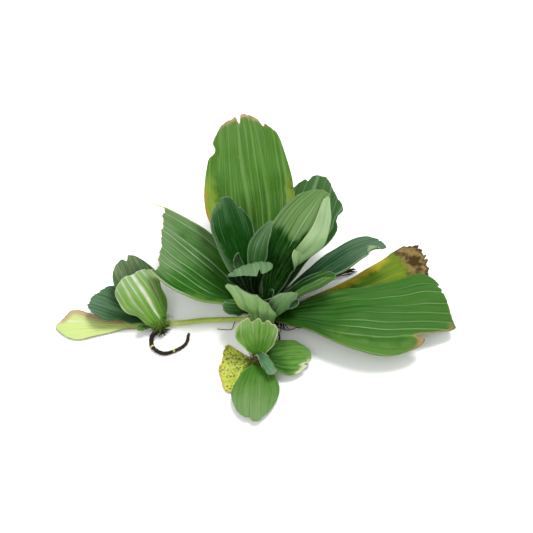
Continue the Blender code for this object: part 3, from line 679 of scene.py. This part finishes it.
growLeaf(
    "front_left_leaf", "pale_green", azimuth=-106, radius=9.6, height=13, pitch=76, bend=8, length=51,
    cup=(30, 5),
    wide=((0, 9, 7), (0.25, 12, 11), (0.5, 14, 16), (0.75, 15, 23), (1, 14, 28)),
    tip=((-1, 0.88), (-0.85, 0.97), (-0.6, 1.0), (-0.2, 0.92), (0.2, 0.82), (0.6, 0.7), (1, 0.55)),
    stem=2.4, ribs=4, ribHeight=-1.6, ruffle=(2.0, 1.4), wave=2.4, cells=(90, 90),
    under=dict(deep="#6fa04c", green="#93c070", pale="#b5d698", streak="#c0dea8", paleAmount=0.7,
        grooveDark=0.35, veinAmount=0.25,
        margins=(stain("#b5c45e", 4, 0.8, side=-1, end=0.6), stain("#cf9a45", 6, 0.9, side=-1, end=0.1))),
    look=dict(velvetLook, seed=12.0))

growLeaf(
    "front_right_leaf", "pale_green", azimuth=-42, radius=9.2, height=18.5, pitch=70, bend=-2, length=47,
    roll=-38, cup=(40, 30),
    wide=((0, 3.4, 3.4), (0.25, 8, 7.5), (0.5, 11, 10), (0.75, 10, 9), (0.9, 7.5, 7), (1, 5, 5)),
    tip=((-1, 0.85), (0, 1.0), (1, 0.85)), stem=2.4, ribs=5, ribHeight=0.35, wave=1.0, cells=(84, 60),
    under=dict(deep="#5f9450", green="#83ac6e", pale="#a6c896", paleAmount=0.6, grooveDark=0.15,
        veinAmount=0.15, rim="#b5c6a0", rimWidth=1.2, rimAmount=0.7),
    look=dict(velvetLook, seed=13.0))

growLeaf(
    "small_left_leaf", "velvet_green", azimuth=-170, radius=9.8, height=19, pitch=30, bend=-10, length=23,
    width=15, stem=2.0, ribs=5, ribHeight=0.4, cells=(56, 48), under=paleUnder,
    look=dict(velvetLook, deep="#17400f", green="#2f5f20", pale="#557f45", rimWidth=1.1, seed=14.0))

growLeaf(
    "tiny_left_leaf", "velvet_green", azimuth=139, radius=7.2, height=24, pitch=54, bend=0, length=46,
    width=9, sway=-4, cup=(60, 60), curl=60, stem=1.6, ribs=5, ribHeight=0.4, cells=(64, 36),
    under=paleUnder,
    look=dict(velvetLook, seed=15.0))

growLeaf(
    "tiny_right_leaf", "velvet_green", azimuth=-6, radius=8.6, height=18.6, pitch=28, bend=0, length=23,
    width=8, sway=10, cup=(60, 60), curl=60, stem=1.6, ribs=5, ribHeight=0.4, cells=(56, 36),
    under=paleUnder,
    look=dict(velvetLook, green="#2f5a40", seed=16.0))

growLeaf(
    "heart_leaf_large", "velvet_green", azimuth=-75, radius=4.6, height=25.5, pitch=78, bend=0, length=15,
    width=11, cup=(60, 50), stem=1.6, ribs=5, ribHeight=0.3, cells=(48, 40),
    look=dict(velvetLook, seed=17.0))

growLeaf(
    "heart_leaf_small", "velvet_green", azimuth=30, radius=4.8, height=25.5, pitch=76, bend=0, length=13,
    width=6, cup=(60, 50), stem=1.4, ribs=5, ribHeight=0.3, cells=(48, 32),
    look=dict(velvetLook, seed=18.0))
print("inner leaves grown")

# ---- side daughter

growLeaf(
    "side_back_leaf", "velvet_green", crown="side", azimuth=120, radius=5.2, height=7.2, pitch=37, bend=-8,
    length=50, cup=(30, 0),
    wide=((0, 5.5, 5.5), (0.25, 11, 11), (0.5, 17, 16), (0.75, 19, 16.5), (1, 18, 14)),
    tip=((-1, 0.6), (-0.7, 0.8), (-0.35, 0.96), (0, 1.0), (0.35, 0.97), (0.7, 0.88), (1, 0.7)), stem=2.2,
    notches=((0.08, 0.08, 0.1),), ribs=8, ribHeight=0.7, ruffle=(1.4, 2.0), wave=1.2, cells=(90, 80),
    under=paleUnder,
    look=dict(velvetLook, deep="#1f3f1c", green="#3f5f38", pale="#869b6c", paleAmount=0.8, streak="#98aa80",
        streakAmount=0.5, grooveDark=0.6, banding=0.9, rim="#55702f", seed=19.0,
        margins=(stain("#3f6a1c", 5, 0.7, side=-1, end=0.8),)))

growLeaf(
    "side_left_leaf", "velvet_green", crown="side", azimuth=162, radius=5.8, height=4.4, pitch=12, bend=-4,
    length=48, cup=(40, 20),
    wide=((0, 3.6, 3), (0.25, 8, 7), (0.5, 12, 14), (0.75, 15, 20), (1, 14, 20)),
    tip=((-1, 0.7), (-0.6, 0.88), (-0.2, 0.98), (0.2, 1.0), (0.6, 0.96), (1, 0.84)), stem=2.2, ragged=0.02,
    ribs=9, ribHeight=1.1, ruffle=(1.2, 2.5), cells=(90, 90), under=paleUnder,
    look=dict(velvetLook, deep="#1c4220", green="#436a40", pale="#76967a", vein="#8fae93", grooveDark=0.7,
        rim="#55764f", seed=20.0))

growLeaf(
    "side_cupped_leaf", "pale_green", crown="side", azimuth=-42, radius=5.8, height=8, pitch=126, bend=10,
    length=47, cup=(45, 45),
    wide=((0, 5.5, 5.5), (0.2, 15, 12), (0.4, 22, 17), (0.6, 23, 20), (0.8, 20, 20), (1, 16, 18)),
    tip=((-1, 0.84), (-0.7, 0.95), (-0.35, 1.0), (0, 0.96), (0.4, 0.93), (0.75, 0.86), (1, 0.7)), stem=2.4,
    ribs=8, ribHeight=-1.4, ruffle=(2.2, 2.2), wave=2.6, cells=(90, 96),
    under=dict(deep="#5f9a20", green="#86b84a", pale="#a3c88a", vein="#f8fce4", veinAmount=1.0,
        veinWidth=0.28, veinFade=(-0.3, 0.02), grooveDark=0.0, veinRise=0.9, rim="#dfe6c6", rimAmount=0.7,
        rimWidth=0.7, rough=0.6, paleAmount=0.8, dust=0.1),
    look=dict(paleLook, seed=21.0))

growLeaf(
    "side_old_leaf", "old_yellow", crown="side", azimuth=180, radius=6, height=1.6, pitch=0, bend=0,
    length=70, cup=(25, 5),
    wide=((0, 2.2, 2), (0.2, 3.5, 3.5), (0.4, 6.5, 6), (0.6, 11, 10), (0.8, 14.5, 14.5), (1, 13, 16)),
    tip=((-1, 0.84), (-0.8, 0.88), (-0.4, 0.93), (0, 1.0), (0.5, 0.95), (1, 0.78)), stem=1.8, ribs=8,
    ribHeight=0.8, ruffle=(0.5, 3.0), wave=0.5, cells=(104, 72),
    look=dict(oldLook, deep="#e4f688", green="#e0f490", pale="#cce884", streak="#eef8b8", vein="#f2f6dc",
        veinAmount=0.9, veinWidth=0.24, rim="#7d7a3c", rimWidth=0.7, grooveDark=0.1, streakAmount=0.3,
        paleAmount=0.8, seed=22.0,
        margins=(stain("#cdb487", 8, 1.0, side=-1, start=0.25, ragged=0.5),
            stain("#b5713a", 1.2, 0.8, side=-1, start=0.3, ragged=2.5))))

growLeaf(
    "side_young_leaf", "velvet_green", crown="side", azimuth=212, radius=6.6, height=4.6, pitch=20, bend=0,
    length=11, width=6, cup=(60, 30), stem=1.4, ribs=5, ribHeight=0.2, cells=(40, 32),
    look=dict(greenLook, seed=23.0))

# ---- front daughter

growLeaf(
    "front_up_leaf", "pale_green", crown="front", azimuth=87, radius=4.8, height=7, pitch=74, bend=0,
    length=33, cup=(50, 30),
    wide=((0, 4.8, 4.8), (0.25, 12, 9), (0.5, 17, 13), (0.75, 18, 15), (1, 16, 14)),
    tip=((-1, 0.74), (-0.6, 0.92), (0, 0.97), (0.5, 1.0), (1, 0.84)), stem=2.4,
    notches=((0.3, 0.14, 0.14), (-0.2, 0.12, 0.12), (-0.62, 0.06, 0.08)), ribs=8, ribHeight=1.2,
    ruffle=(1.2, 2.0), cells=(90, 90), under=paleUnder,
    look=dict(paleLook, deep="#5a9c1c", green="#84ba4c", pale="#b5da90", vein="#d2e8b0", veinAmount=0.7,
        grooveDark=0.5, rim="#d6dfae", rimWidth=1.0, rimAmount=0.9, seed=24.0))

growLeaf(
    "front_side_leaf", "outer_green", crown="front", azimuth=2, radius=6.2, height=6.2, pitch=18, bend=-28,
    length=33, cup=(45, -25),
    wide=((0, 5, 5), (0.12, 10.5, 10), (0.3, 15, 14), (0.5, 17.5, 16), (0.75, 17.5, 16), (1, 15, 13)),
    tip=((-1, 0.5), (-0.8, 0.72), (-0.55, 0.9), (-0.2, 0.98), (0.1, 1.0), (0.5, 0.93), (0.8, 0.75),
        (1, 0.52)), stem=2.4,
    notches=((-0.42, 0.12, 0.08),), ribs=7, ribHeight=0.9, ruffle=(0.7, 2.0), cells=(84, 84),
    under=paleUnder,
    look=dict(greenLook, deep="#1c5203", green="#5f9832", pale="#8db562", vein="#9dbb78", paleAmount=0.7,
        greening=(0.1, 0.6), grooveDark=0.6, rim="#8fae5e", rimWidth=0.6, seed=25.0,
        margins=(stain("#dfe6bc", 5, 0.95, side=-1, start=0.62, end=0.95, ragged=1.8),)))

growLeaf(
    "front_low_leaf", "outer_green", crown="front", azimuth=-92, radius=5.4, height=6, pitch=6, bend=-14,
    length=47, cup=(40, -10),
    wide=((0, 5, 5), (0.12, 9.5, 9.5), (0.28, 14, 14), (0.5, 17, 18), (0.75, 16, 18), (1, 14, 16)),
    tip=((-1, 0.62), (-0.8, 0.82), (-0.5, 0.93), (-0.22, 0.96), (-0.14, 1.0), (0.1, 1.0), (0.35, 0.93),
        (0.7, 0.76), (1, 0.5)), stem=2.4, ragged=0.008, ribs=9, ribHeight=0.6, ruffle=(1.2, 2.6), wave=1.2,
    cells=(94, 84), under=paleUnder,
    look=dict(greenLook, deep="#3f7f14", green="#5a8c32", pale="#84a56a", paleAmount=0.75,
        streakAmount=0.25, paling=(0.4, 0.9), vein="#8fa878", veinAmount=0.6, grooveDark=0.35,
        rim="#7f9a66", seed=26.0,
        spots=((230.0, 0.2, 0.56, "#b5ae8c"), (160.0, 0.16, 0.6, "#6f5a38"))))

growLeaf(
    "front_old_leaf", "old_yellow", crown="front", azimuth=192, radius=5.6, height=1.9, pitch=0, bend=0,
    length=24, cup=(15, 0),
    wide=((0, 4, 5), (0.3, 12, 14), (0.6, 20, 23), (1, 24, 27)),
    tip=((-1, 0.62), (-0.6, 0.72), (-0.25, 0.88), (0, 1.0), (0.5, 0.97), (0.8, 0.95), (1, 0.8)), stem=2.0,
    ragged=0.03, ribs=8, ribHeight=0.4, ruffle=(0.4, 2.0), wave=0.4, cells=(70, 90),
    look=dict(oldLook, deep="#9cb824", green="#b8cc2c", pale="#ecee4c", rim="#dcb02c", rimWidth=1.8,
        streakAmount=0.5, grooveDark=0.4, seed=27.0,
        spots=((420.0, 0.5, 0.3, "#5f6c14"), (300.0, 0.36, 0.4, "#7a5a1c"), (520.0, 0.45, 0.3, "#f2f06a"))))

growLeaf(
    "front_young_leaf", "pale_green", crown="front", azimuth=-58, radius=1.5, height=14.5, pitch=22,
    bend=-50, length=20, width=8.5, neck=0.7, cup=(60, -60), stem=1.8, ribs=4, ribHeight=0.5,
    cells=(56, 48),
    look=dict(paleLook, deep="#3a6a42", green="#5f8f60", pale="#86aa86", grooveDark=0.6, seed=28.0))
print("daughters' leaves grown")


# ---- crowns, runners and roots

def stemSkin(name, look):
    material, tree, shader = newSkin(name)
    patches = useGroup(tree, leafBlotches, Scale=look["scale"], Seed=look["seed"], From=0.4, To=0.6)
    fine = useGroup(tree, leafBlotches, Scale=look["scale"] * 7, Seed=look["seed"] + 5, From=0.45, To=0.65)
    colour = mixColour(tree, patches["Mask"], linear(look["main"]), linear(look["second"]))
    colour = tint(tree, colour, fine["Mask"], look["fleckAmount"], look["fleck"])
    tree.links.new(colour, shader.inputs["Base Color"])
    rough = plus(tree, times(tree, fine["Raw"], 0.25), look["rough"] - 0.12)
    tree.links.new(rough, shader.inputs["Roughness"])
    height = plus(tree, patches["Raw"], times(tree, fine["Raw"], 0.6))
    addBump(tree, shader, height, 0.8, 0.0012)
    shader.inputs["Specular IOR Level"].default_value = look["gloss"]
    return material


stemLooks = dict(
    runnerSkin=dict(main="#c3dd4a", second="#e0ee82", fleck="#8b8a3a", fleckAmount=0.3, rough=0.42,
                    gloss=0.4, scale=70.0, seed=1.0),
    crownSkin=dict(main="#5a6d1e", second="#3c3a16", fleck="#b9a45e", fleckAmount=0.5, rough=0.8,
                   gloss=0.2, scale=160.0, seed=2.0),
    rootSkin=dict(main="#1a110c", second="#33221a", fleck="#7a6844", fleckAmount=0.35, rough=0.85,
                  gloss=0.2, scale=200.0, seed=3.0),
    greenFibre=dict(main="#5f8a22", second="#86a83a", fleck="#3a5216", fleckAmount=0.5, rough=0.7,
                    gloss=0.2, scale=150.0, seed=6.0),
    tanRootSkin=dict(main="#a88a5c", second="#7c6040", fleck="#cdb98c", fleckAmount=0.4, rough=0.7,
                     gloss=0.25, scale=150.0, seed=4.0))
skins = {name: stemSkin(name, look) for name, look in stemLooks.items()}


def smoothRoute(points, spacing):
    given = [Vector(p) for p in points]
    given = [2 * given[0] - given[1], *given, 2 * given[-1] - given[-2]]
    route = []
    for a, b, c, d in zip(given, given[1:], given[2:], given[3:]):
        count = max(1, round((c - b).length / spacing))
        for k in range(count):
            t = k / count
            route.append(0.5 * (2 * b + (c - a) * t + (2 * a - 5 * b + 4 * c - d) * t**2
                                + (3 * b - a - 3 * c + d) * t**3))
    return [*route, given[-2]]


def strandPiece(name, strands, skin, replaced=(), sides=2):
    # strands are (points in mm, radius at the start, radius at the end)
    curve = bpy.data.curves.new(name, "CURVE")
    curve.dimensions = "3D"
    curve.bevel_depth = mm
    curve.bevel_resolution = sides
    curve.use_fill_caps = True
    for points, first, last in strands:
        spline = curve.splines.new("POLY")
        spline.points.add(len(points) - 1)
        for k, point in enumerate(points):
            share = k / (len(points) - 1)
            radius = first + (last - first) * share
            spline.points[k].co = (*[c * mm for c in (point[0], point[1], max(point[2], radius + 0.05))], 1.0)
            spline.points[k].radius = radius
    curve.materials.append(skins[skin])
    piece = addObject(name, curve)
    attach(piece, "root")
    if replaced:
        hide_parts(*replaced)


def routeFromMother(points, spacing):
    return smoothRoute([tuple(np.array(p) + motherAt) for p in points], spacing)


def hairsAlong(route, count, length, seed, thickness=0.16):
    # short fine hairs standing off a root
    chance = np.random.default_rng(seed)
    hairs = []
    for _ in range(count):
        at = chance.random() * (len(route) - 2)
        low = int(at)
        base = np.array(route[low]) + (np.array(route[low + 1]) - np.array(route[low])) * (at - low)
        aim = chance.normal(size=3)
        aim[2] *= 0.6
        aim /= max(np.linalg.norm(aim), 0.2)
        reach = length * (0.5 + chance.random())
        bend = chance.normal(size=3) * 0.25
        hairs.append(([tuple(base + aim * reach * t + bend * reach * t * t) for t in (0, 0.35, 0.7, 1.0)],
                      thickness, thickness * 0.35))
    return hairs


# roots packed under the mother plant, pressed flat on the table
rootMat = dict(strands=190, reach=11.5, top=9.5, seed=5, radii=(0.55, 0.3))
chance = np.random.default_rng(rootMat["seed"])
matAt = crownCentre("mother_root_mat")
mat = []
for _ in range(rootMat["strands"]):
    turn, out = chance.random() * 2 * math.pi, math.sqrt(chance.random())
    swing = chance.normal() * 0.5
    radius = rootMat["reach"] * out
    path = []
    for t in np.linspace(0, 1, 9):
        bearing = turn + swing * t
        far = radius * (0.25 + 0.75 * t ** 0.7)
        path.append((matAt[0] + math.cos(bearing) * far, matAt[1] - 3 * (1 - t) + math.sin(bearing) * far,
                     rootMat["top"] * (1 - t) ** 1.4 * (1.1 - 0.5 * out) + 0.4 + chance.random() * 0.8))
    mat.append((path, *rootMat["radii"]))
strandPiece("rootMat", mat, "rootSkin", ("mother_root_mat",))

rootTail = dict(route=[(14, 18, 4.6), (30, 32, 4.8), (48, 44, 4.4), (62, 49, 3.6), (71, 53, 2.2)],
                spacing=3.0, strands=26, bundle=(1.5, 1.5, 1.1), shake=0.25, radii=(0.6, 0.35),
                hairs=420, hairLength=3.0)
tailRoute = routeFromMother(rootTail["route"], rootTail["spacing"])
tail = []
for _ in range(rootTail["strands"]):
    offset = chance.normal(size=3) * rootTail["bundle"]
    strand = [tuple(np.array(p) + offset * (1 - 0.45 * i / len(tailRoute))
                    + chance.normal(size=3) * rootTail["shake"])
              for i, p in enumerate(tailRoute[:len(tailRoute) - chance.integers(0, 6)])]
    tail.append((strand, *rootTail["radii"]))
tail += hairsAlong(tailRoute, rootTail["hairs"], rootTail["hairLength"], 8)
strandPiece("rootTail", tail, "rootSkin", ("mother_root_tail",), sides=1)

sideRoot = dict(route=[(-80, -7, 4), (-83.5, -13, 2.6), (-82, -22, 2.3), (-74, -27, 2.0), (-65, -24, 1.8),
                       (-58, -18, 1.6), (-56, -9, 2.2)], spacing=1.2, radii=(1.7, 1.0), hairs=900,
                hairLength=1.3, greenGaps=((13, 1.6), (28, 1.3)))  # a gap is (place along, radius)
sideRoute = routeFromMother(sideRoot["route"], sideRoot["spacing"])
sideStrands = [([tuple(p) for p in sideRoute], *sideRoot["radii"])]
sideStrands += hairsAlong(sideRoute, sideRoot["hairs"], sideRoot["hairLength"], 9, 0.13)
for k in range(2, len(sideRoute) - 2, 3):  # knuckles
    swell = 1.75 - 0.7 * k / len(sideRoute)
    sideStrands.append(([tuple(sideRoute[k]), tuple(sideRoute[k + 1])], swell * 1.12, swell))
strandPiece("sideRoot", sideStrands, "rootSkin", ("side_root",), sides=3)
lift = Vector((0, 0, 0.4))
gaps = [([tuple(sideRoute[k] + lift), tuple(sideRoute[k + 1] + lift)], size, size * 0.9)
        for k, size in sideRoot["greenGaps"]]
strandPiece("rootGreenGaps", gaps, "runnerSkin")

frontRoot = dict(route=[(3, -31, 1.4), (9, -21, 1.3), (11.5, -13, 1.3), (11, -7, 1.6)], spacing=1.5,
                 radii=(0.8, 0.55), hairs=40, hairLength=1.6)
frontRoute = routeFromMother(frontRoot["route"], frontRoot["spacing"])
frontStrands = [([tuple(p) for p in frontRoute], *frontRoot["radii"])]
frontStrands += hairsAlong(frontRoute, frontRoot["hairs"], frontRoot["hairLength"], 10, 0.12)
strandPiece("frontRoot", frontStrands, "rootSkin", ("front_root",))


def tuft(name, look):
    # a ragged ring of petiole fibres and root stubs round a crown
    chance = np.random.default_rng(look["seed"])
    foot = crowns[look["crown"]] + np.array(look["shift"])
    thickness = look.get("thickness", 0.3)
    strands = []
    for _ in range(look["count"]):
        turn = chance.random() * 2 * math.pi
        out = np.array([math.cos(turn), math.sin(turn)])
        start = chance.uniform(*look["radii"])
        height = chance.uniform(*look["rises"])
        far = look["reach"] * (0.4 + 0.8 * chance.random())
        swing = chance.normal(size=2) * 1.6
        strand = []
        for t in (0, 0.35, 0.7, 1.0):
            spot = foot[:2] + out * (start + far * t) + swing * t * t
            strand.append((*spot, max(height + (1.5 + 2.0 * chance.random()) * t - 2.5 * t * t, 0.4)))
        strands.append((strand, thickness, thickness * 0.3))
    strandPiece(name, strands, look["skin"], sides=1)


tufts = dict(
    sideTuftBrown=dict(crown="side", shift=(2.5, -4.5, 0), reach=3.4, count=130, radii=(0.0, 4.5),
                       rises=(1.0, 7.0), skin="rootSkin", seed=21, thickness=0.5),
    sideTuftGreen=dict(crown="side", shift=(1.5, -2.5, 0), reach=5.5, count=240, radii=(0.0, 4.5),
                       rises=(5.0, 13.0), skin="greenFibre", seed=22),
    frontTuft=dict(crown="front", shift=(-2.0, -1.0, 0), reach=4.0, count=150, radii=(0.0, 4.0),
                   rises=(1.5, 9.5), skin="crownSkin", seed=23, thickness=0.4),
    motherTuft=dict(crown="mother", shift=(0, 0, 0), reach=4.0, count=70, radii=(6.5, 8.5),
                    rises=(7.0, 13.0), skin="rootSkin", seed=24),
    deadBases=dict(crown="mother", shift=(13.0, 8.0, 0), reach=9.0, count=260, radii=(0.0, 8.0),
                   rises=(2.0, 17.0), skin="rootSkin", seed=25, thickness=0.6))
for name, look in tufts.items():
    tuft(name, look)

# each is a route, then the radius at its start and at its end
looseRoots = [
    ([(-14, 9, 9), (-19, 8, 3), (-22, 3, 1), (-24, -3.5, 0.7), (-29, -4.2, 0.7), (-35, -3.6, 0.7)],
     0.42, 0.28),
    ([(9, 0, 7), (14, 1, 4), (20, -1, 2), (28, -3, 0.9)], 0.7, 0.4),
    ([(8, -4, 6), (13, -5, 3), (19, -5, 1.2), (25, -2, 0.8)], 0.6, 0.3)]
looseStrands = [([tuple(p) for p in routeFromMother(points, 1.5)], *radii) for points, *radii in looseRoots]
strandPiece("looseRoots", looseStrands, "tanRootSkin")

runners = dict(
    side=([(-75, -1, 3.5), (-60, 0, 4), (-46, 1, 5.4), (-24, 0, 8.2), (-10, -1.5, 10.6)], 2.1, 1.7),
    front=([(-3.5, -31.4, 3.4), (-2, -20, 5), (0, -9.5, 9.5)], 1.6, 1.5))
for name, (points, first, last) in runners.items():
    strandPiece(name + "Runner", [([tuple(p) for p in routeFromMother(points, 2.0)], first, last)],
                "runnerSkin", (name + "_runner",), sides=6)

# torn strip that curls off the left leaf's upper corner
tornStrip = dict(steps=(-2, 0, 3, 6, 9, 12), radii=(0.6, 0.25))
corner = blade(dict(tornLeaf, ragged=0.0), np.array([0.9, 0.99]), np.array([-0.97, -0.97]))[0]
onward = corner[1] - corner[0]
onward /= np.linalg.norm(onward)
strip = [tuple(corner[1] + onward * far + np.array([-0.25 * far, -0.18 * far, 0.02 * far * far]))
         for far in tornStrip["steps"]]
strandPiece("tornStrip", [(strip, *tornStrip["radii"])], "runnerSkin")

for name in ("mother_crown", "side_crown", "front_crown"):
    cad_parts[name].material_slots[0].material = skins["crownSkin"]
print("crowns, runners and roots done")

# ---- floor, light and camera

studio = dict(floorHalf=3.0, paper=(0.95, 0.95, 0.95, 1), paperRough=0.9, sky=(1, 1, 1, 1), skyStrength=0.85)
lights = dict(keyLight=dict(place=(0.45, 0.5, 2.4), size=0.9, power=58),
              fillLight=dict(place=(-0.6, -1.4, 1.8), size=1.2, power=12))
view = dict(aim=(0.0019, 0.033, 0.030), rise=50, distance=0.95, lens=85.5)

floorMesh = bpy.data.meshes.new("table")
sheet = bmesh.new()
bmesh.ops.create_grid(sheet, x_segments=1, y_segments=1, size=studio["floorHalf"])
sheet.to_mesh(floorMesh)
sheet.free()
paper, _, shader = newSkin("whitePaper")
shader.inputs["Base Color"].default_value = studio["paper"]
shader.inputs["Roughness"].default_value = studio["paperRough"]
floorMesh.materials.append(paper)
addObject("table", floorMesh)

world = bpy.data.worlds.new("studio")
world.use_nodes = True
background = world.node_tree.nodes["Background"]
background.inputs[0].default_value = studio["sky"]
background.inputs[1].default_value = studio["skyStrength"]
bpy.context.scene.world = world

centre = Vector(motherAt * mm)
for name, light in lights.items():
    lamp = bpy.data.lights.new(name, "AREA")
    lamp.size = light["size"]
    lamp.energy = light["power"]
    made = addObject(name, lamp)
    made.location = centre + Vector(light["place"])
    made.rotation_euler = (-Vector(light["place"])).to_track_quat("-Z", "Y").to_euler()

rise = math.radians(view["rise"])
camera = addObject("camera", bpy.data.cameras.new("camera"))
camera.data.lens = view["lens"]
away = Vector((0, -math.cos(rise), math.sin(rise))) * view["distance"]
camera.location = centre + Vector(view["aim"]) + away
camera.rotation_euler = (math.radians(90) - rise, 0, 0)
bpy.context.scene.camera = camera
bpy.context.scene.view_settings.view_transform = "Standard"

print("scene ready")
